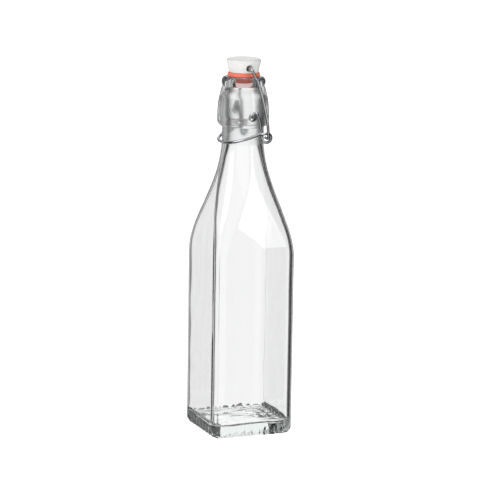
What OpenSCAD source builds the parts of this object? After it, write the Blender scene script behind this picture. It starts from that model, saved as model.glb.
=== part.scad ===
// Swing-top glass bottle: square body, round neck, wire closure.
// Millimetres, +Z up, origin at the middle of the base. The closure's hinge axis
// runs along X, and the thumb loop is on the -Y side.

/* [Body] */
// Width across the flats of the square body
body_w = 62; // [56:1:72]
// Outer radius of the body's four upright corners
corner_r = 8.5; // [8:0.5:18]
// Height where the straight sides end and the shoulder begins
shoulder_z = 118; // [100:1:130]
// Height where the shoulder ends and the round neck begins
neck_z = 207; // [200:1:210]
// Glass thickness in the straight sides
wall = 2.3; // [2:0.1:4]
// Glass thickness in the middle of the base
base_t = 8; // [6:0.5:10]
// Radius of the outer bottom edge
heel_r = 4; // [2:0.5:6]
// Radius of the body's four upright corners on the inside
corner_in_r = 6.2; // [5:0.1:12]

/* [Neck] */
// Outer radius of the plain neck
neck_r = 15; // [14:0.1:16]
// Outer radius of the bell-shaped collar
collar_r = 18.5; // [17.5:0.1:19]
// Height of the collar's widest place, where the lever hinges
pivot_z = 230; // [228:0.5:232]
// Outer radius of the lip bead
lip_r = 15.7; // [15:0.1:17]
// Height of the mouth's rim
rim_z = 257; // [255:0.5:259]
// Radius of the mouth bore
bore_r = 9; // [8.5:0.1:9.5]
// Glass thickness in the plain neck
neck_wall = 2.9; // [2.6:0.1:4]

/* [Stopper] */
// Radius of the stopper's head at its top
head_r = 12.3; // [11.5:0.1:13]
// Radius of the stopper's head at its bottom
head_low_r = 10.6; // [10:0.1:11.5]
// Height of the stopper's head
head_h = 9.8; // [9:0.1:11]
// Thickness of the rubber gasket
gasket_t = 3; // [2.5:0.1:3.5]
// Outer radius of the rubber gasket
gasket_r = 11.6; // [11:0.1:13]
// Radius of the stopper's shank
shank_r = 4.6; // [4:0.1:6]
// Radius of the bead that holds the gasket on
bead_r = 5.6; // [5.2:0.1:7.6]

/* [Wires] */
// Diameter of both wires
wire_d = 2.1; // [1.8:0.1:2.2]
// How far the lever's arms are from the middle
arm_x = 20; // [20:0.1:21]
// How far behind the hinge axis the lever's rings are
ring_y = 9.65; // [9:0.05:10]
// How far below the hinge axis the lever's rings are
ring_drop = 14.9; // [14:0.1:15.5]
// Radius of a ring at the wire's centre line
ring_r = 3.2; // [3:0.1:3.6]
// How far in front of the neck's axis the thumb loop reaches
loop_reach = 16.4; // [16.3:0.1:18]

/* [Hidden] */
$fn = 48;
eps = 0.05;
wire_r = wire_d / 2;
half_w = body_w / 2;
loop_x = arm_x + wire_d + 0.1;
bail_x = loop_x + wire_d + 0.3;
pin_play = 0.08;
bead_h = 7.6;
spigot_h = 4.4;
stopper_z = rim_z + gasket_t;
hole_z = stopper_z + 3.5;
ring_z = pivot_z - ring_drop;
loop_flat_y = 4;
loop_slope = 0.374;

function unit(v) = v / norm(v);
function smooth(t) = let (u = min(1, max(0, t))) u * u * (3 - 2 * u);

// ---- glass -------------------------------------------------------------

// One closed outline: a square of half width h with corners of radius r.
function outline(h, r, z, n = 12) = [
    for (q = [0 : 3], i = [0 : n - 1])
        let (a = 90 * q + 90 * i / (n - 1) * 0.999)
        let (sx = (q == 0 || q == 3) ? 1 : -1)
        let (sy = (q < 2) ? 1 : -1)
        [sx * (h - r) + r * cos(a), sy * (h - r) + r * sin(a), z]
];

// Rings of points, bottom to top, joined into a closed solid.
module loft(rings) {
    n = len(rings[0]);
    m = len(rings);
    points = [for (ring = rings) for (p = ring) p];
    sides = [
        for (j = [0 : m - 2], i = [0 : n - 1])
            let (k = (i + 1) % n)
            for (f = [[j * n + i, (j + 1) * n + i, (j + 1) * n + k],
                      [j * n + i, (j + 1) * n + k, j * n + k]]) f
    ];
    floor_face = [for (i = [0 : n - 1]) i];
    top_face = [for (i = [n - 1 : -1 : 0]) (m - 1) * n + i];
    polyhedron(points, concat([floor_face], sides, [top_face]), convexity = 6);
}

// Half width of the outside at height z, from the body to the neck.
function side_h(z) =
    neck_r + (half_w - neck_r) * smooth((neck_z + 8 - z) / (neck_z + 8 - shoulder_z - 10));
// How round the outline is there: 1 is a circle, less is a rounded square.
function roundness(z) =
    1 - (1 - corner_r / half_w) * smooth((neck_z - 7 - z) / (neck_z - 7 - shoulder_z - 12));
// The same for the inside.
function roundness_in(z) =
    1 - (1 - corner_in_r / (half_w - wall)) * smooth((neck_z - 7 - z) / (neck_z - 7 - shoulder_z - 12));
// Inner radius of the neck and collar at height z: it swells in the collar and closes to the bore.
function neck_in(z) =
    let (r = neck_r - neck_wall + 1.3 * smooth((z - pivot_z + 9) / 9))
    r - (r - bore_r + 0.1) * smooth((z - rim_z + 15) / 9);

collar_curve = 62;
lip_h = 7.5;
lip_low_z = rim_z - lip_h;
shoulder_rings = [for (i = [0 : 20]) shoulder_z + (neck_z + 6 - shoulder_z) * i / 20];
step_rings = [for (a = [0 : 15 : 90]) [neck_r + (collar_r - neck_r) * sin(a), pivot_z - 4 - 4.5 * cos(a)]];
bell_rings = [for (z = [pivot_z : 3 : lip_low_z])
    [collar_r - pow(z - pivot_z, 2) / (2 * collar_curve), z]];
lip_rings = [for (a = [-45 : 15 : 75])
    [lip_r - 3 + 3 * cos(a), rim_z - lip_h / 2 + (lip_h / 2) * sin(a) / sin(75)]];

module glass_outside() {
    loft(concat(
        [outline(half_w - 10, corner_r - 6, 1.2)],
        [outline(half_w - 8, corner_r - 5, 0)],
        [for (a = [0 : 18 : 90])
            outline(half_w - heel_r + heel_r * sin(a), corner_r - heel_r + heel_r * sin(a),
                    heel_r - heel_r * cos(a))],
        [for (z = shoulder_rings) outline(side_h(z), side_h(z) * roundness(z), z)],
        [for (p = concat(step_rings, bell_rings, lip_rings)) outline(p[0], p[0], p[1])]
    ));
}

module glass_inside() {
    inner_heel = 6;
    inner_w = half_w - wall;
    loft(concat(
        [for (a = [0 : 18 : 90])
            outline(inner_w - inner_heel * (1 - sin(a)), max(2.5, corner_in_r - inner_heel * (1 - sin(a))),
                    base_t + inner_heel * (1 - cos(a)))],
        [for (z = shoulder_rings) if (z < neck_z + 4)
            let (h = side_h(z) - wall)
            outline(h, h * roundness_in(z), z)],
        [for (z = [pivot_z - 10 : 3 : rim_z - 16]) outline(neck_in(z), neck_in(z), z)],
        [for (z = [rim_z - 15 : 1.5 : rim_z - 5]) outline(neck_in(z), neck_in(z), z)]
    ));
    translate([0, 0, rim_z - 7]) cylinder(r = bore_r, h = 8);
    translate([0, 0, rim_z - 1.5]) cylinder(r1 = bore_r, r2 = bore_r + 1.6, h = 1.6);
}

// Blind hole in the collar for one end of the lever, with a flared mouth.
module dimple() {
    translate([collar_r - 3.4, 0, pivot_z])
        rotate([0, 90, 0]) {
            cylinder(r = wire_r + pin_play, h = 5);
            translate([0, 0, 1.6]) cylinder(r1 = wire_r + pin_play, r2 = 3.2, h = 2.2);
        }
}

module bottle() {
    color([0.86, 0.92, 0.90, 0.5])
        difference() {
            glass_outside();
            glass_inside();
            dimple();
            mirror([1, 0, 0]) dimple();
        }
}

// ---- stopper and gasket --------------------------------------------------

module stopper() {
    edge = 1.6;
    color([0.95, 0.95, 0.93])
        difference() {
            rotate_extrude()
                polygon(concat(
                    [[0, stopper_z - gasket_t - bead_h]],
                    [for (a = [0 : 15 : 75]) [bead_r - 2 + 2 * sin(a), rim_z - bead_h + 2 - 2 * cos(a)]],
                    [[bead_r, rim_z - spigot_h - 0.7]],
                    [[shank_r, rim_z - spigot_h - 0.1]],
                    [[shank_r, stopper_z]],
                    [[head_low_r, stopper_z]],
                    [for (a = [0 : 15 : 90])
                        [head_r - edge + edge * cos(a), stopper_z + head_h - edge + edge * sin(a)]],
                    [[0, stopper_z + head_h]]
                ));
            translate([-20, 0, hole_z])
                rotate([0, 90, 0])
                    cylinder(r = wire_r + pin_play, h = 40);
            for (s = [-1, 1])
                translate([s * 7.5, 0, hole_z])
                    rotate([0, s * 90, 0])
                        cylinder(r1 = wire_r + pin_play, r2 = 3, h = 5);
        }
}

module gasket() {
    color([0.93, 0.33, 0.24])
        translate([0, 0, rim_z + eps])
            difference() {
                union() {
                    cylinder(r = gasket_r, h = gasket_t - eps);
                    translate([0, 0, -spigot_h]) cylinder(r = bore_r - 0.8, h = spigot_h + 1);
                }
                translate([0, 0, -spigot_h - 1]) cylinder(r = shank_r, h = gasket_t + spigot_h + 2);
            }
}

// ---- wires -----------------------------------------------------------------

// The points of a bend of radius r at corner q, between the corners p and s.
function bend(p, q, s, r) =
    let (u = unit(p - q), v = unit(s - q))
    let (half = acos(u * v) / 2, turn = 180 - 2 * half)
    let (c = q + unit(u + v) * r / sin(half))
    let (x = unit(q + u * r / tan(half) - c))
    let (y = cross(unit(cross(v, u)), x))
    let (steps = max(1, ceil(turn / 18)))
    [for (i = [0 : steps]) c + r * (x * cos(turn * i / steps) + y * sin(turn * i / steps))];

// A path of corners with each corner bent to its radius.
function bent(path, radii) = concat(
    [path[0]],
    [for (i = [1 : len(path) - 2]) each bend(path[i - 1], path[i], path[i + 1], radii[i])],
    [path[len(path) - 1]]
);

function heading(p, i) = unit(p[min(i + 1, len(p) - 1)] - p[max(i - 1, 0)]);
function sideways(p, i, last) =
    i == len(p) ? [] :
    let (t = heading(p, i), m = unit(last - t * (last * t)))
    concat([m], sideways(p, i + 1, m));

// Round wire along a path of points.
module wire(p, sides = 12) {
    m = sideways(p, 0, [0, 0.3, 1]);
    loft([
        for (i = [0 : len(p) - 1])
            let (t = heading(p, i), w = cross(t, m[i]))
            [for (k = [0 : sides - 1])
                p[i] + wire_r * (m[i] * cos(360 * k / sides) + w * sin(360 * k / sides))]
    ]);
}

// The exact round pin that covers a straight run along X, where a wire turns in a hole or eye.
module pin(x0, x1, z, y = 0) {
    translate([x0, y, z])
        rotate([0, 90, 0])
            cylinder(r = wire_r + 0.01, h = x1 - x0);
}

function flip_x(p) = [-p[0], p[1], p[2]];
function mirrored(path) = concat(path, [for (i = [len(path) - 1 : -1 : 0]) flip_x(path[i])]);
function doubled(list) = concat(list, [for (i = [len(list) - 1 : -1 : 0]) list[i]]);

// Half of the bail, from the eye of a ring up to the stopper's hole.
bail_half = [
    [arm_x - 1.8, ring_y, ring_z],
    [bail_x, ring_y, ring_z],
    [bail_x, ring_y - 0.8, ring_z + 11],
    [bail_x - 1.8, ring_y - 3.65, pivot_z + 11],
    [bail_x - 6.2, 3.1, pivot_z + 26],
    [bail_x - 10.2, 0, hole_z]
];
bail_bends = [0, 1.8, 30, 30, 14, 2.2];

module bail() {
    color([0.72, 0.73, 0.75]) {
        wire(bent(mirrored(bail_half), doubled(bail_bends)));
        pin(-12, 12, hole_z);
        for (s = [-1, 1]) pin(s * 20.5 - 2, s * 20.5 + 2, ring_z, ring_y);
    }
}

pin_x = collar_r - 3;
// Half of the lever, from its end in the dimple round the ring to the thumb loop.
ring_turn = [for (a = [180 : 30 : 450])
    [arm_x + (loop_x - arm_x) * (a - 180) / 270,
     ring_y + ring_r * cos(a) / cos(15), ring_z + ring_r * sin(a) / cos(15)]];
loop_depth = loop_reach + loop_flat_y;
loop_arc = [for (a = [6 : 12 : 78])
    let (y = loop_flat_y - loop_depth * sin(a) / sin(78))
    [loop_x * cos(a), y, ring_z + ring_r - loop_slope * (loop_flat_y - y)]];
lever_half = concat(
    [[pin_x + 0.1, 0, pivot_z]],
    [[arm_x, 0, pivot_z]],
    [[arm_x, -0.1, pivot_z + 3.2]],
    [[arm_x, 2.4, pivot_z + 3]],
    [[arm_x, 4.8, pivot_z - 3.5]],
    [[arm_x, 5.6, pivot_z - 9]],
    ring_turn,
    [[loop_x, loop_flat_y, ring_z + ring_r]],
    loop_arc
);
lever_bends = concat([0, 1.5, 1.2, 1.2, 10, 10], [for (p = ring_turn) 2.4], [4], [for (p = loop_arc) 10]);

module lever() {
    color([0.66, 0.67, 0.69]) {
        wire(bent(mirrored(lever_half), doubled(lever_bends)));
        pin(pin_x, arm_x - 1.6, pivot_z);
        pin(1.6 - arm_x, -pin_x, pivot_z);
    }
}

bottle();
stopper();
gasket();
bail();
lever();
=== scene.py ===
"""Looks of the swing-top square glass bottle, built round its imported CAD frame.

Sizes are in millimetres and follow part.scad; MM turns them into metres.
"""

import math

import bmesh
import bpy
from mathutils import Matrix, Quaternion, Vector, noise


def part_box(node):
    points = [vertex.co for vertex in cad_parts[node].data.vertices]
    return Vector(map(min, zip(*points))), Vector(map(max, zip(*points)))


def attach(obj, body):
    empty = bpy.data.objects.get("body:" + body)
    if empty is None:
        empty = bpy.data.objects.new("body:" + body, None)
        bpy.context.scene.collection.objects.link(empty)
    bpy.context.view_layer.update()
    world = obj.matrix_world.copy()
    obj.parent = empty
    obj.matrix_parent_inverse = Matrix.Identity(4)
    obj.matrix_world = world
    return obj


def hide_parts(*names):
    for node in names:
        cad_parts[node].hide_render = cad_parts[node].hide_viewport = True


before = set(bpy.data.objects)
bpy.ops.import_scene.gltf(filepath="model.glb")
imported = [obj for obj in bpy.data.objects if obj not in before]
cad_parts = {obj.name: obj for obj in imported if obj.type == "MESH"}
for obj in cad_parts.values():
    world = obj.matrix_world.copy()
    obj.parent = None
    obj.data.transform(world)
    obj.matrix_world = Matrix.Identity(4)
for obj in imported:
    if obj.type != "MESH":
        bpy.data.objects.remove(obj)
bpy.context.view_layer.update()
MM = 0.001


def high_mm(node):
    """Highest corner of a CAD node's box, in millimetres."""
    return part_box(node)[1] / MM


# ---- sizes ------------------------------------------------------------------

rim_z = high_mm("bottle").z
head_top_z = high_mm("stopper").z
head_r = high_mm("stopper").x
gasket_r = high_mm("gasket").x
stopper_z = high_mm("gasket").z

# body
half_w = 31.0
corner_r = 8.5
shoulder_z = 118.0
neck_z = 207.0
wall = 2.3
base_t = 8.0
heel_r = 4.0
inner_heel_r = 4.0
corner_in_r = 6.2
bearing_h = half_w - heel_r
recess_h = 24.0
recess_depth = 1.3
nub_pitch = 6.0
nub_width = 3.0
nub_lift = 0.7

# neck and collar
neck_r = 15.0
neck_wall = 2.9
collar_r = 18.5
collar_curve = 62.0
collar_swell = 1.3
pivot_z = 230.0
collar_low_z = pivot_z - 4
lip_r = 15.7
lip_h = 7.5
lip_bulge = 3.0
bore_r = 9.0
rim_round = 1.6
dimple_depth = 1.9

# stopper and gasket
head_low_r = 10.6
shank_r = 4.6
bead_r = 5.6
bead_h = 7.6
spigot_h = 4.4
hole_z = stopper_z + 3.5
gasket_low_z = rim_z + 0.05

# wires
wire_r = 1.05
arm_x = 20.0
loop_x = arm_x + 2 * wire_r + 0.1
bail_x = loop_x + 2 * wire_r + 0.3
ring_y = 9.65
ring_z = pivot_z - 14.9
ring_r = 3.2
loop_flat_y = 4.0
loop_slope = 0.374
loop_reach = 16.4
pin_x = collar_r - 3.0


def smooth(t):
    u = min(1.0, max(0.0, t))
    return u * u * (3 - 2 * u)


def window(x, low, high, soft):
    """1 between low and high, falling smoothly to 0 over soft on each side."""
    return smooth((x - low) / soft + 1) * smooth((high - x) / soft + 1)


# ---- mesh helpers --------------------------------------------------------------


def new_object(name, verts, faces, sharp_angle=40):
    """A smooth-shaded mesh object from points in millimetres."""
    mesh = bpy.data.meshes.new(name)
    mesh.from_pydata([tuple(float(c) * MM for c in v) for v in verts], [], faces)
    obj = bpy.data.objects.new(name, mesh)
    bpy.context.scene.collection.objects.link(obj)
    finish_mesh(obj, sharp_angle)
    return obj


def finish_mesh(obj, sharp_angle):
    """Outward normals, smooth faces, and sharp edges where the surface turns sharply."""
    bm = bmesh.new()
    bm.from_mesh(obj.data)
    bmesh.ops.remove_doubles(bm, verts=bm.verts, dist=1e-7)
    bmesh.ops.recalc_face_normals(bm, faces=bm.faces)
    limit = math.radians(sharp_angle)
    for face in bm.faces:
        face.smooth = True
    for edge in bm.edges:
        edge.smooth = not (len(edge.link_faces) == 2 and edge.calc_face_angle(0.0) > limit)
    bm.to_mesh(obj.data)
    bm.free()


def ring_faces(rings, count, closed_ends=True, loop=False):
    """Quads between successive rings of count points, with a fan to a pole at each end."""
    faces = []
    for j in range(rings - 1 + loop):
        a, b = j * count, ((j + 1) % rings) * count
        for i in range(count):
            k = (i + 1) % count
            faces.append((a + i, a + k, b + k, b + i))
    if closed_ends:
        first, last = rings * count, rings * count + 1
        top = (rings - 1) * count
        for i in range(count):
            k = (i + 1) % count
            faces.append((first, k, i))
            faces.append((last, top + i, top + k))
    return faces


def circle(radius, count):
    """(u, v) points evenly round a circle."""
    for i in range(count):
        a = 2 * math.pi * i / count
        yield radius * math.cos(a), radius * math.sin(a)


def turned_about_z(profile, count):
    """Points of the rings that (radius, height) points sweep out about Z."""
    return [(x, y, z) for r, z in profile for x, y in circle(r, count)]


def turned_about_x(name, profile, height, count):
    """A solid turned about a line along X at a height, from (x, radius) points."""
    verts = [(x, y, height + z) for x, r in profile for y, z in circle(r, count)]
    verts += [(profile[0][0], 0, height), (profile[-1][0], 0, height)]
    return new_object(name, verts, ring_faces(len(profile), count))


def arc(cx, cz, radius, start, end, steps):
    """Points of an arc in the (radius, height) plane, angles in degrees."""
    return [
        (
            cx + radius * math.cos(math.radians(start + (end - start) * i / steps)),
            cz + radius * math.sin(math.radians(start + (end - start) * i / steps)),
        )
        for i in range(steps + 1)
    ]


def cut(obj, cutter, sharp_angle=30):
    """Takes the cutter's shape out of obj and removes the cutter."""
    modifier = obj.modifiers.new("cut", "BOOLEAN")
    modifier.operation = "DIFFERENCE"
    modifier.solver = "EXACT"
    modifier.object = cutter
    graph = bpy.context.evaluated_depsgraph_get()
    obj.data = bpy.data.meshes.new_from_object(obj.evaluated_get(graph))
    obj.modifiers.clear()
    bpy.data.objects.remove(cutter)
    finish_mesh(obj, sharp_angle)


# ---- bottle ----------------------------------------------------------------------

AROUND = 320  # points in each ring of the glass
flare_low_z, flare_high_z = shoulder_z + 10, neck_z + 8
round_low_z, round_high_z = shoulder_z + 12, neck_z - 7
seam_height, seam_width = 0.22, 1.3
groove_depth = 0.7
floor_wave_h = 6.0


def side_h(z):
    """Half width of the outside at height z, from the body to the neck."""
    return neck_r + (half_w - neck_r) * smooth((flare_high_z - z) / (flare_high_z - flare_low_z))


def roundness(z, body):
    """1 where the outline is a circle, falling to the body's own value down the shoulder."""
    return 1 - (1 - body) * smooth((round_high_z - z) / (round_high_z - round_low_z))


def neck_in(z):
    """Inner radius of neck and collar: it swells in the collar and closes to the bore."""
    blend = 9.0
    r = neck_r - neck_wall + collar_swell * smooth((z - pivot_z + blend) / blend)
    return r - (r - bore_r) * smooth((z - rim_z + 15) / blend)


def outline(h, r, count=AROUND):
    """(x, y, distance along) round a square of half width h with corners of radius r."""
    r = min(r, h)
    flat, bend = 2 * (h - r), math.pi * r / 2
    quarter = flat + bend
    points = []
    for i in range(count):
        s = 4 * quarter * i / count
        side, along = int(s // quarter), s % quarter
        if along < flat / 2:
            x, y = h, along
        elif along < flat / 2 + bend:
            a = (along - flat / 2) / r if r > 0 else 0.0
            x, y = h - r + r * math.cos(a), h - r + r * math.sin(a)
        else:
            x, y = h - (along - flat / 2 - bend) - r, h
        c, d = [(1, 0), (0, 1), (-1, 0), (0, -1)][side]
        points.append((x * c - y * d, x * d + y * c, s))
    return points


def spread(low, high, step):
    """Evenly spaced heights from low to high, about step apart."""
    n = max(1, round((high - low) / step))
    return [low + (high - low) * i / n for i in range(n + 1)]


def nub(s, perimeter):
    """1 on the crown of a bearing nub and 0 between two nubs, s along the outline."""
    count = 4 * round(perimeter / 4 / nub_pitch)
    off = (s / perimeter * count) % 1.0 - 0.5
    return math.exp(-((off * nub_pitch / (nub_width / 2.2)) ** 2))


def outside_rings():
    """(half width, corner radius, height) from the middle of the base up to the rim."""
    rings = []
    for i in range(1, 13):
        h = recess_h * i / 12
        rings.append((h, h * 0.125, nub_lift + recess_depth * (1 - (h / recess_h) ** 3)))
    for i in range(1, 9):
        h = recess_h + (bearing_h - recess_h) * i / 8
        rings.append((h, max(3.0, corner_r - (half_w - h)), nub_lift))
    for x, z in arc(bearing_h, heel_r, heel_r, -90, 0, 14)[1:]:
        rings.append((x, corner_r - (half_w - x), z))
    for z in spread(heel_r, shoulder_z, 3.0)[1:]:
        rings.append((half_w, corner_r, z))
    for z in spread(shoulder_z, neck_z + 6, 1.5)[1:]:
        h = side_h(z)
        rings.append((h, h * roundness(z, corner_r / half_w), z))
    for degrees in range(0, 91, 6):
        a = math.radians(degrees)
        r = neck_r + (collar_r - neck_r) * math.sin(a)
        rings.append((r, r, collar_low_z - 4.5 * math.cos(a)))
    for z in spread(collar_low_z, rim_z - lip_h, 0.5)[1:]:
        r = collar_r - max(0.0, z - pivot_z) ** 2 / (2 * collar_curve)
        rings.append((r, r, z))
    last = 75
    for degrees in range(-45, last + 1, 5):
        a = math.radians(degrees)
        r = lip_r - lip_bulge + lip_bulge * math.cos(a)
        rings.append((r, r, rim_z - lip_h / 2 * (1 - math.sin(a) / math.sin(math.radians(last)))))
    return rings


def inside_rings():
    """(half width, corner radius, height) from the rim down to the middle of the floor."""
    neck_low_z, mouth_z = neck_z + 5, rim_z - rim_round
    rings = [(r, r, z) for r, z in arc(bore_r + rim_round, mouth_z, rim_round, 90, 180, 8)]
    for z in reversed(spread(neck_low_z, mouth_z, 0.75)[:-1]):
        rings.append((neck_in(z), neck_in(z), z))
    heel, inner_w = inner_heel_r, half_w - wall
    for z in reversed(spread(base_t + heel, neck_low_z, 1.5)[:-1]):
        h = side_h(z) - wall + (wall - neck_wall) * smooth((z - neck_z + 10) / 12)
        rings.append((h, h * roundness(z, corner_in_r / inner_w), z))
    for i in range(1, 15):
        a = math.radians(90 - 90 * i / 15)
        inset = heel * (1 - math.sin(a))
        z = base_t + heel * (1 - math.cos(a))
        rings.append((inner_w - inset, max(3.5, corner_in_r - inset), z))
    floor_h = inner_w - heel
    for i in range(20):
        h = floor_h * (1 - i / 20)
        rings.append((h, max(h * 0.3, 0.1), base_t))
    return rings


def wave(x, y, z, size, seed):
    """Smooth noise with waves of a size, longer upwards."""
    return noise.noise(Vector((x / size + seed, y / size - seed, z / (size * 2.2) + seed)))


def cut_dimple(obj, sign):
    """Takes out one flared hinge hole, a bowl with a round bore in its middle."""
    hole_r, bowl_r = wire_r + 0.08, 1.4
    bowl = [(pin_x - 0.4, hole_r), (collar_r - dimple_depth, hole_r)]
    bowl += [
        (collar_r - dimple_depth * math.cos(a), bowl_r + 1.75 * math.sin(a))
        for a in (0.2, 0.5, 0.8, 1.1, 1.4)
    ]
    bowl += [(collar_r, 3.2), (collar_r + 2, 3.4)]
    profile = [(sign * x, r) for x, r in bowl]
    cut(obj, turned_about_x("dimple_cutter", profile, pivot_z, 56), 35)


def build_bottle():
    """The glass, with bearing nubs, mould seams, and a slightly wavy inside."""
    verts = []
    outside = outside_rings()
    for h, r, z in outside:
        ring = outline(h, r)
        perimeter = ring[-1][2] * AROUND / (AROUND - 1)
        bearing = window(h, 25.2, 28.4, 1.2) if z < 1.5 else 0.0
        groove = groove_depth * window(z, 1.6, 3.6, 1.2) if h > bearing_h else 0.0
        seam = seam_height * window(z, 14, 140, 30) if h > bearing_h else 0.0
        for x, y, s in ring:
            crown = nub(s, perimeter)
            pull = 1 - groove * (1 - crown) / h
            if x * y < 0:  # two opposite corners
                pull += seam * math.exp(-(((abs(x) - abs(y)) / seam_width) ** 2)) / h
            verts.append((x * pull, y * pull, max(0.0, z - nub_lift * crown * bearing)))
    inside = inside_rings()
    for h, r, z in inside:
        body_part = smooth((neck_z - 10 - z) / 40)
        floor_part = smooth((base_t + floor_wave_h - z) / floor_wave_h)
        for x, y, _ in outline(h, r):
            sway = 1 + body_part * (0.004 * wave(x, y, z, 26, 3.1) + 0.003 * wave(x, y, z, 9, 7.7))
            lift = 0.0
            if floor_part > 0:
                lift = floor_part * (0.8 * wave(x, y, 0, 17, 1.3) + 0.45 * wave(x, y, 0, 8, 5.2))
            verts.append((x * sway, y * sway, z + lift))
    verts.append((0, 0, nub_lift + recess_depth))
    verts.append((0, 0, base_t + 0.3))
    obj = new_object("glass_bottle", verts, ring_faces(len(outside) + len(inside), AROUND), 50)
    cut_dimple(obj, 1)
    cut_dimple(obj, -1)
    return obj


# ---- stopper and gasket -------------------------------------------------------------


def build_stopper():
    """The white bung: bead, shank, flared head with a dished top, and the bail's cross hole."""
    count, edge, bead_edge = 128, 1.6, 2.0
    top, low, bead_top = head_top_z, rim_z - bead_h, rim_z - spigot_h
    side = []
    for i in range(1, 11):
        r = head_low_r + (head_r - head_low_r) * (i / 10) ** 1.15
        side.append((r, stopper_z + (top - edge - stopper_z) * i / 10))
    profile = (
        arc(bead_r - bead_edge, low + bead_edge, bead_edge, -90, 0, 10)
        + [(bead_r, bead_top - 0.7), (bead_r - 0.2, bead_top - 0.3), (shank_r, bead_top - 0.1)]
        + [(shank_r, stopper_z), (head_low_r - 0.4, stopper_z), (head_low_r, stopper_z + 0.3)]
        + side
        + arc(head_r - edge, top - edge, edge, 0, 90, 10)[1:]
        + [(head_r - 2.6, top - 0.25), (head_r - 4.0, top - 0.35), (2.2, top - 0.35), (1.9, top - 0.6)]
    )
    verts = turned_about_z(profile, count) + [(0, 0, low), (0, 0, top - 0.6)]
    stopper = new_object("white_stopper", verts, ring_faces(len(profile), count))
    hole_r, flare = wire_r + 0.1, 3.0
    half = [(7, hole_r), (8.6, hole_r + 0.5), (head_r - 0.3, flare), (16, flare + 1.2)]
    hole = [(-x, r) for x, r in reversed(half)] + half
    cut(stopper, turned_about_x("hole_cutter", hole, hole_z, 48))
    return stopper


def build_gasket():
    """The rubber washer, with the spigot that reaches into the mouth."""
    low, top = gasket_low_z, stopper_z
    spigot_r, spigot_z = bore_r - 0.8, gasket_low_z - spigot_h
    count = 128
    profile = (
        [(shank_r + 0.02, spigot_z), (spigot_r - 0.5, spigot_z), (spigot_r, spigot_z + 0.5), (spigot_r, low)]
        + [(gasket_r - 0.7, low)]
        + arc(gasket_r - 0.6, low + 0.6, 0.6, -80, 10, 6)
        + [(gasket_r - 0.1, low + 1.3)]
        + arc(gasket_r - 0.75, top - 0.75, 0.6, 5, 70, 5)
        + [(head_low_r + 0.1, top - 0.05), (head_low_r - 0.6, top), (shank_r + 0.02, top)]
    )
    verts = turned_about_z(profile, count)
    return new_object("rubber_gasket", verts, ring_faces(len(profile), count, False, True), 50)


# ---- wires ------------------------------------------------------------------------------


def bend_points(p, q, s, radius, step=6.0):
    """Points of a bend of a radius at corner q, between the corners p and s."""
    u, v = (p - q).normalized(), (s - q).normalized()
    half = math.acos(max(-1.0, min(1.0, u.dot(v)))) / 2
    turn = math.pi - 2 * half
    if turn < 1e-4:
        return [q]
    centre = q + (u + v).normalized() * radius / math.sin(half)
    x = (q + u * radius / math.tan(half) - centre).normalized()
    y = v.cross(u).normalized().cross(x)
    steps = max(2, math.ceil(math.degrees(turn) / step))
    return [
        centre + radius * (x * math.cos(turn * i / steps) + y * math.sin(turn * i / steps))
        for i in range(steps + 1)
    ]


def bent(path, radii):
    """The path with each inner corner bent to its radius."""
    points = [path[0]]
    for i in range(1, len(path) - 1):
        points += bend_points(path[i - 1], path[i], path[i + 1], radii[i])
    return points + [path[-1]]


def mirrored(path):
    """A path on the +X side and its mirror image, as one path."""
    return path + [Vector((-p.x, p.y, p.z)) for p in reversed(path)]


def build_wire(name, path, count=28):
    """Round wire along a path, with softly rounded ends."""
    dense, spacing, end_h = [], 2.0, wire_r * 0.5
    for a, b in zip(path, path[1:]):
        n = max(1, round((b - a).length / spacing))
        dense += [a.lerp(b, i / n) for i in range(n)]
    dense.append(path[-1])
    last = len(dense) - 1
    headings = [(dense[min(i + 1, last)] - dense[max(i - 1, 0)]).normalized() for i in range(last + 1)]
    side = Vector((0, 0.3, 1))
    dome = [(end_h * (1 - math.sin(a)), math.sin(a)) for a in (0.35, 0.8, 1.2)]
    verts, rings = [], 0
    for i, (p, t) in enumerate(zip(dense, headings)):
        side = (side - t * side.dot(t)).normalized()
        other = t.cross(side)
        ends = [(0.0, 1.0)]
        if i == 0:
            ends = [(-along, size) for along, size in dome] + ends
        if i == last:
            ends = ends + dome[::-1]
        for along, size in ends:
            verts += [p + t * along + side * u + other * v for u, v in circle(wire_r * size, count)]
            rings += 1
    verts += [dense[0] - headings[0] * end_h, dense[-1] + headings[-1] * end_h]
    return new_object(name, verts, ring_faces(rings, count), 60)


def build_bail():
    """The upper wire, from a pin in the lever's ring up to the stopper's cross hole."""
    half = [
        Vector((arm_x - 1.3, ring_y, ring_z)),
        Vector((bail_x, ring_y, ring_z)),
        Vector((bail_x, ring_y - 0.8, ring_z + 11)),
        Vector((bail_x - 1.8, ring_y - 3.65, pivot_z + 11)),
        Vector((bail_x - 6.2, 3.1, pivot_z + 26)),
        Vector((bail_x - 10.2, 0, hole_z)),
    ]
    radii = [0, 1.8, 30, 30, 14, 2.2]
    return build_wire("bail_wire", bent(mirrored(half), radii + radii[::-1]))


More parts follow.
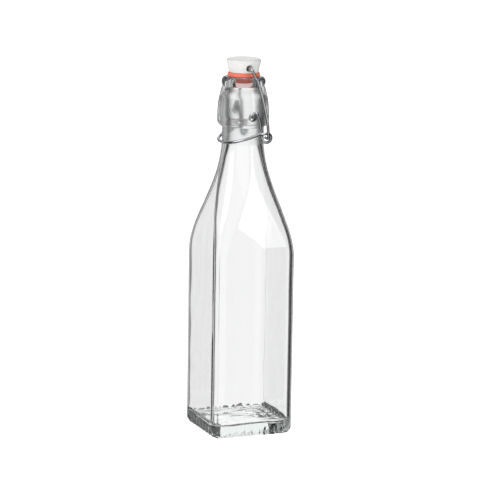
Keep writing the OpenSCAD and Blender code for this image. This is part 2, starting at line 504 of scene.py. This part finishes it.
def build_lever():
    """The lower wire: hooked pivot end, arm, coiled ring and the thumb loop."""
    lean = math.cos(math.radians(15))
    half = [
        Vector((pin_x + 0.6, 0, pivot_z)),
        Vector((arm_x, 0, pivot_z)),
        Vector((arm_x, -0.1, pivot_z + 3.2)),
        Vector((arm_x, 2.4, pivot_z + 3)),
        Vector((arm_x, 4.8, pivot_z - 3.5)),
        Vector((arm_x, 5.6, pivot_z - 9)),
    ]
    radii = [0, 1.5, 1.2, 1.2, 10, 10]
    for degrees in range(180, 451, 30):
        a = math.radians(degrees)
        x = arm_x + (loop_x - arm_x) * (degrees - 180) / 270
        half.append(Vector((x, ring_y + ring_r * math.cos(a) / lean, ring_z + ring_r * math.sin(a) / lean)))
        radii.append(2.4)
    loop_z = ring_z + ring_r
    half.append(Vector((loop_x, loop_flat_y, loop_z)))
    radii.append(4)
    last = 78
    for degrees in range(6, last + 1, 12):
        a = math.radians(degrees)
        y = loop_flat_y - (loop_reach + loop_flat_y) * math.sin(a) / math.sin(math.radians(last))
        half.append(Vector((loop_x * math.cos(a), y, loop_z - loop_slope * (loop_flat_y - y))))
        radii.append(10)
    return build_wire("lever_wire", bent(mirrored(half), radii + radii[::-1]))


# ---- materials ---------------------------------------------------------------------------


def material(name, **inputs):
    """A principled material; an input's name has underscores for its spaces."""
    mat = bpy.data.materials.new(name)
    mat.use_nodes = True
    shader = mat.node_tree.nodes["Principled BSDF"]
    for key, value in inputs.items():
        shader.inputs[key.replace("_", " ")].default_value = value
    return mat, mat.node_tree, shader


def bump(tree, shader, height, strength, distance):
    node = tree.nodes.new("ShaderNodeBump")
    node.inputs["Strength"].default_value = strength
    node.inputs["Distance"].default_value = distance
    tree.links.new(height, node.inputs["Height"])
    tree.links.new(node.outputs["Normal"], shader.inputs["Normal"])


def noise_node(tree, scale, detail=3.0, stretch=None):
    coords = tree.nodes.new("ShaderNodeTexCoord")
    source = coords.outputs["Object"]
    if stretch:
        mapping = tree.nodes.new("ShaderNodeMapping")
        mapping.inputs["Scale"].default_value = stretch
        tree.links.new(source, mapping.inputs["Vector"])
        source = mapping.outputs["Vector"]
    node = tree.nodes.new("ShaderNodeTexNoise")
    node.inputs["Scale"].default_value = scale
    node.inputs["Detail"].default_value = detail
    tree.links.new(source, node.inputs["Vector"])
    return node.outputs["Fac"]


def mapped(tree, value, low, high):
    """Spreads noise, which mostly lies between 0.3 and 0.7, over low to high."""
    node = tree.nodes.new("ShaderNodeMapRange")
    node.inputs["From Min"].default_value = 0.3
    node.inputs["From Max"].default_value = 0.7
    node.inputs["To Min"].default_value = low
    node.inputs["To Max"].default_value = high
    tree.links.new(value, node.inputs["Value"])
    return node.outputs["Result"]


def glass_material():
    mat, tree, shader = material(
        "clear_glass", Base_Color=(1, 1, 1, 1), Roughness=0.0, IOR=1.5, Transmission_Weight=1.0
    )
    bump(tree, shader, noise_node(tree, 45.0, 2.0, (1, 1, 0.3)), 0.06, 0.0004)
    tint = tree.nodes.new("ShaderNodeVolumeAbsorption")
    tint.inputs["Color"].default_value = (0.76, 0.84, 0.83, 1)
    tint.inputs["Density"].default_value = 9.0
    tree.links.new(tint.outputs["Volume"], tree.nodes["Material Output"].inputs["Volume"])
    return mat


def rippled_glass_material():
    """The drawn inside of the neck, which blurs what is behind it."""
    mat, tree, shader = material(
        "rippled_glass", Base_Color=(1, 1, 1, 1), Roughness=0.25, IOR=1.5, Transmission_Weight=1.0
    )
    bump(tree, shader, noise_node(tree, 120.0, 3.0, (1, 1, 0.25)), 0.08, 0.0006)
    return mat


def steel_material():
    mat, tree, shader = material("bright_steel", Base_Color=(0.58, 0.59, 0.61, 1), Metallic=1.0)
    tree.links.new(mapped(tree, noise_node(tree, 900.0), 0.07, 0.20), shader.inputs["Roughness"])
    bump(tree, shader, noise_node(tree, 2500.0, 2.0, (1, 1, 0.15)), 0.12, 0.0001)
    return mat


def stopper_material():
    mat, tree, shader = material(
        "white_moulding",
        Base_Color=(0.76, 0.76, 0.745, 1),
        Coat_Weight=0.3,
        Subsurface_Weight=0.15,
        Subsurface_Radius=(0.003, 0.003, 0.0025),
    )
    tree.links.new(mapped(tree, noise_node(tree, 300.0), 0.24, 0.38), shader.inputs["Roughness"])
    bump(tree, shader, noise_node(tree, 700.0, 4.0), 0.08, 0.0002)
    return mat


def glow_painted_copy(mat, colour, strength):
    """A copy of a material with a painted glow, for the part inside the mouth: the glow stands in for the
    light that reaches it through the glass.
    """
    copy = mat.copy()
    copy.name = mat.name + "_painted_glow"
    shader = copy.node_tree.nodes["Principled BSDF"]
    # painted glow: emission in place of the light that reaches the part through the glass
    shader.inputs["Emission Color"].default_value = colour
    shader.inputs["Emission Strength"].default_value = strength
    return copy


def dress_with_painted_glow(obj, mat, colour, strength, below):
    """Gives the faces below a height the copy with the painted glow, which stands in for the light reaching
    them inside the glass.
    """
    obj.data.materials.append(glow_painted_copy(mat, colour, strength))
    for face in obj.data.polygons:
        if face.center.z / MM < below:
            face.material_index = 1


def rubber_material():
    mat, tree, shader = material(
        "orange_rubber",
        Base_Color=(0.88, 0.20, 0.13, 1),
        Subsurface_Weight=0.2,
        Subsurface_Radius=(0.004, 0.0015, 0.001),
    )
    tree.links.new(mapped(tree, noise_node(tree, 500.0), 0.42, 0.6), shader.inputs["Roughness"])
    bump(tree, shader, noise_node(tree, 1500.0, 4.0), 0.2, 0.0001)
    return mat


def dress(obj, mat):
    obj.data.materials.clear()
    obj.data.materials.append(mat)


# ---- the pieces ------------------------------------------------------------------------------

RIPPLED_LOW_Z, RIPPLED_HIGH_Z = neck_z - 4, rim_z - 8

bottle = build_bottle()
dress(bottle, glass_material())
bottle.data.materials.append(rippled_glass_material())
for face in bottle.data.polygons:
    middle = face.center / MM
    inner = math.hypot(middle.x, middle.y) < neck_in(middle.z) + 0.25
    if RIPPLED_LOW_Z < middle.z < RIPPLED_HIGH_Z and inner:
        face.material_index = 1
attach(bottle, "bottle")
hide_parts("bottle")

stopper = build_stopper()
white = stopper_material()
dress(stopper, white)
# painted glow: the stopper's plug inside the mouth glows pale pink in place of the light that reaches it
# through the glass
dress_with_painted_glow(stopper, white, (1, 0.93, 0.93, 1), 0.45, rim_z)
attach(stopper, "stopper")
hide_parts("stopper")

gasket = build_gasket()
rubber = rubber_material()
dress(gasket, rubber)
# painted glow: the gasket's spigot inside the mouth glows dark red in place of the light that reaches it
# through the glass
dress_with_painted_glow(gasket, rubber, (0.36, 0.04, 0.04, 1), 0.32, rim_z + 0.1)
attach(gasket, "stopper")
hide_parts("gasket")

steel = steel_material()
bail = build_bail()
dress(bail, steel)
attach(bail, "bail")
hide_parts("bail")

lever = build_lever()
dress(lever, steel)
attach(lever, "lever")
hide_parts("lever")

# ---- studio ----------------------------------------------------------------------------------

camera_turn = math.radians(22.4)
camera_rise = math.radians(11.5)
camera_roll = math.radians(0.9)
camera_far = 1.95
camera_lens = 195.156
aim_right, aim_z = 6.4 * MM, 131.0 * MM
toward = Vector((math.cos(camera_turn), -math.sin(camera_turn), 0))
to_right = Vector((math.sin(camera_turn), math.cos(camera_turn), 0))


def build_camera():
    data = bpy.data.cameras.new("camera")
    data.sensor_width = 36.0
    data.lens = camera_lens
    camera = bpy.data.objects.new("camera", data)
    bpy.context.scene.collection.objects.link(camera)
    aim = to_right * aim_right + Vector((0, 0, aim_z))
    away = toward * math.cos(camera_rise) + Vector((0, 0, math.sin(camera_rise)))
    camera.location = aim + away * camera_far
    camera.rotation_mode = "QUATERNION"
    roll = Quaternion(Vector((0, 0, 1)), camera_roll)
    camera.rotation_quaternion = (-away).to_track_quat("-Z", "Y") @ roll
    bpy.context.scene.camera = camera


def build_floor():
    """A pale floor that the glass neither bends nor mirrors."""
    size = 6.0
    mesh = bpy.data.meshes.new("floor")
    corners = [(-size, -size, 0), (size, -size, 0), (size, size, 0), (-size, size, 0)]
    mesh.from_pydata(corners, [], [(0, 1, 2, 3)])
    floor = bpy.data.objects.new("floor", mesh)
    bpy.context.scene.collection.objects.link(floor)
    mat = material(
        "pale_floor",
        Base_Color=(0.5, 0.5, 0.5, 1),
        Roughness=0.9,
        Emission_Color=(1, 1, 1, 1),
        Emission_Strength=0.92,
    )[0]
    dress(floor, mat)
    floor.visible_transmission = False
    floor.visible_glossy = False


def build_world():
    """A pale backdrop behind the bottle and dark sides, so that the glass shows dark edges."""
    world = bpy.data.worlds.new("studio")
    bpy.context.scene.world = world
    world.use_nodes = True
    tree = world.node_tree
    nodes, links = tree.nodes, tree.links
    background = nodes["Background"]
    coords = nodes.new("ShaderNodeTexCoord")
    direction = coords.outputs["Generated"]

    def along(vector):
        dot = nodes.new("ShaderNodeVectorMath")
        dot.operation = "DOT_PRODUCT"
        dot.inputs[1].default_value = vector
        links.new(direction, dot.inputs[0])
        return dot.outputs["Value"]

    def maths(operation, a, b=None):
        node = nodes.new("ShaderNodeMath")
        node.operation = operation
        for socket, value in zip(node.inputs, (a, b)):
            if value is None:
                continue
            if isinstance(value, (int, float)):
                socket.default_value = value
            else:
                links.new(value, socket)
        return node.outputs[0]

    # degrees to the right of the point behind the bottle, and its brightness there
    sides = [
        (-180, 0.5), (-150, 0.5), (-138, 0.05), (-75, 0.05), (-65, 0.6), (-52, 0.6), (-49, 0.32),
        (-41, 0.32), (-38, 0.6), (-29, 0.6), (-25, 0.03), (-13, 0.03), (-9, 1.05), (11, 1.05),
        (16, 0.13), (38, 0.13), (42, 0.03), (138, 0.04), (150, 0.5), (180, 0.5),
    ]
    turn = maths("ARCTAN2", along(to_right), along(-toward))
    turn = maths("ADD", maths("DIVIDE", turn, 2 * math.pi), 0.5)
    ramp = nodes.new("ShaderNodeValToRGB")
    elements = ramp.color_ramp.elements
    while len(elements) < len(sides):
        elements.new(0.5)
    for element, (degrees, value) in zip(elements, sides):
        element.position = degrees / 360 + 0.5
        element.color = (value, value, value, 1)
    links.new(turn, ramp.inputs["Fac"])
    up = nodes.new("ShaderNodeMapRange")
    up.interpolation_type = "SMOOTHSTEP"
    up.inputs["From Min"].default_value = 0.6
    up.inputs["From Max"].default_value = 0.85
    links.new(along((0, 0, 1)), up.inputs["Value"])
    level = maths("MAXIMUM", ramp.outputs["Color"], up.outputs["Result"])
    links.new(level, background.inputs["Color"])
    background.inputs["Strength"].default_value = 1.0


def softbox(name, degrees, height, distance, wide, tall, power, glossy=True):
    """A soft area light round the bottle, degrees to the right of the camera's side."""
    data = bpy.data.lights.new(name, "AREA")
    data.shape = "RECTANGLE"
    data.size, data.size_y = wide, tall
    data.energy = power
    light = bpy.data.objects.new(name, data)
    bpy.context.scene.collection.objects.link(light)
    a = math.radians(degrees)
    place = (toward * math.cos(a) + to_right * math.sin(a)) * distance + Vector((0, 0, height))
    light.location = place
    light.rotation_mode = "QUATERNION"
    light.rotation_quaternion = (Vector((0, 0, 0.15)) - place).to_track_quat("-Z", "Y")
    light.visible_glossy = glossy
    light.visible_transmission = False


softbox("left_box", -55, 0.9, 1.6, 0.9, 1.4, 11)
softbox("right_box", 50, 0.8, 1.8, 0.4, 1.4, 6)
softbox("front_fill", -10, 1.2, 2.6, 1.4, 1.0, 7, False)
build_camera()
build_floor()
build_world()

settings = bpy.context.scene
settings.view_settings.view_transform = "Standard"
settings.cycles.max_bounces = 24
settings.cycles.transmission_bounces = 24
settings.cycles.glossy_bounces = 8
